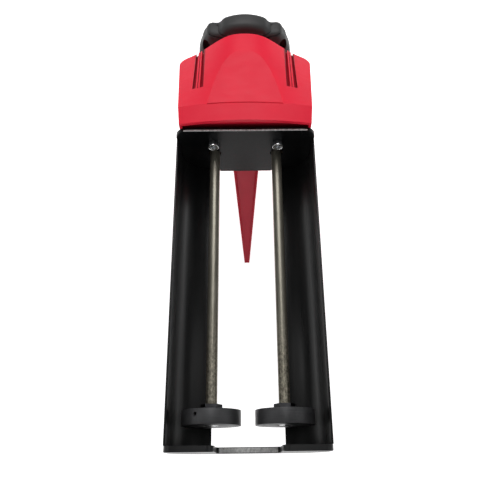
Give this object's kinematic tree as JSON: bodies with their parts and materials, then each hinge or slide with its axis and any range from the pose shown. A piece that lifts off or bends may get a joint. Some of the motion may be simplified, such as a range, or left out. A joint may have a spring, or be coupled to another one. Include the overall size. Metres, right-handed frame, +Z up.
{
  "type": "caulking gun",
  "caption": "Manual caulking gun with an open sheet-steel carriage for side-by-side cartridges, paired push rods with thrust discs, moulded housing and trigger.",
  "frame": {"origin": "midway between the two rod axes, at the front face of the rear plate, where the cartridge seats", "axes": "-Y towards the nozzle, +Y along the rods to the yoke, +Z up, away from the handle, +X to the right seen from behind the nozzle end"},
  "size_m": [0.111, 0.3455, 0.1851],
  "materials": {
    "black_steel": "semi-gloss black powder coat",
    "zinc_steel": "bright zinc plate",
    "rod_steel": "drawn steel with a thin brown oxide, lightly scored",
    "black_disc": "satin black, turned",
    "black_oxide": "black oxide",
    "red_nylon": "fine moulded texture",
    "red_trigger": "fine moulded texture",
    "black_nylon": "fine moulded texture",
    "black_rubber": "matt",
    "cast_aluminium": "as cast",
    "bush_bronze": "sintered",
    "hard_steel": "hardened",
    "spring_steel": "spring wire"
  },
  "bodies": {
    "frame": {"rear_plate": "black_steel", "left_rail": "black_steel", "right_rail": "black_steel", "front_plate": "black_steel", "plate_screws": "zinc_steel", "side_screws": "zinc_steel", "rear_screws": "zinc_steel", "handle_screws": "zinc_steel", "handle_nuts": "zinc_steel", "housing_cover": "red_nylon", "body_left": "red_nylon", "body_right": "red_nylon", "grip_sleeve": "black_rubber", "thrust_block": "cast_aluminium", "rear_block": "cast_aluminium", "front_bushes": "bush_bronze", "rear_bushes": "bush_bronze", "trigger_pin": "hard_steel", "release_pin": "hard_steel", "left_drive_spring": "spring_steel", "right_drive_spring": "spring_steel", "release_spring": "spring_steel"},
    "plunger": {"left_rod": "rod_steel", "right_rod": "rod_steel", "left_thrust_disc": "black_disc", "right_thrust_disc": "black_disc", "lock_nuts": "black_oxide", "disc_screws": "zinc_steel", "rear_yoke": "black_nylon", "yoke_screws": "zinc_steel"},
    "trigger_lever": {"trigger": "red_trigger", "trigger_cam": "hard_steel", "trigger_rivets": "zinc_steel"},
    "drive": {"drive_plate": "hard_steel"},
    "release": {"release_plate": "hard_steel", "release_pad": "black_nylon"}
  },
  "joints": [
    {"name": "rod_slide", "type": "slide", "parent": "frame", "child": "plunger", "axis": [0, 1, 0], "range_m": [-0.01, 0.19]},
    {"name": "trigger_pivot", "type": "hinge", "parent": "frame", "child": "trigger_lever", "pos_m": [0, 0.03, -0.012], "axis": [1, 0, 0], "range_deg": [0, 38], "stiffness_Nm_per_rad": 0.6, "springref_deg": -17.19},
    {"name": "drive_slide", "type": "slide", "parent": "frame", "child": "drive", "axis": [0, 1, 0], "range_m": [-0.0096, 0], "deforming": ["left_drive_spring", "right_drive_spring"]},
    {"name": "release_pivot", "type": "hinge", "parent": "frame", "child": "release", "pos_m": [0, 0.0675, 0.013], "axis": [1, 0, 0], "range_deg": [-5, 0], "stiffness_Nm_per_rad": 0.4, "springref_deg": 8.59}
  ],
  "couplings": [
    {"joint": "drive_slide", "follows": "trigger_pivot", "m_per_rad": -0.0138}
  ]
}
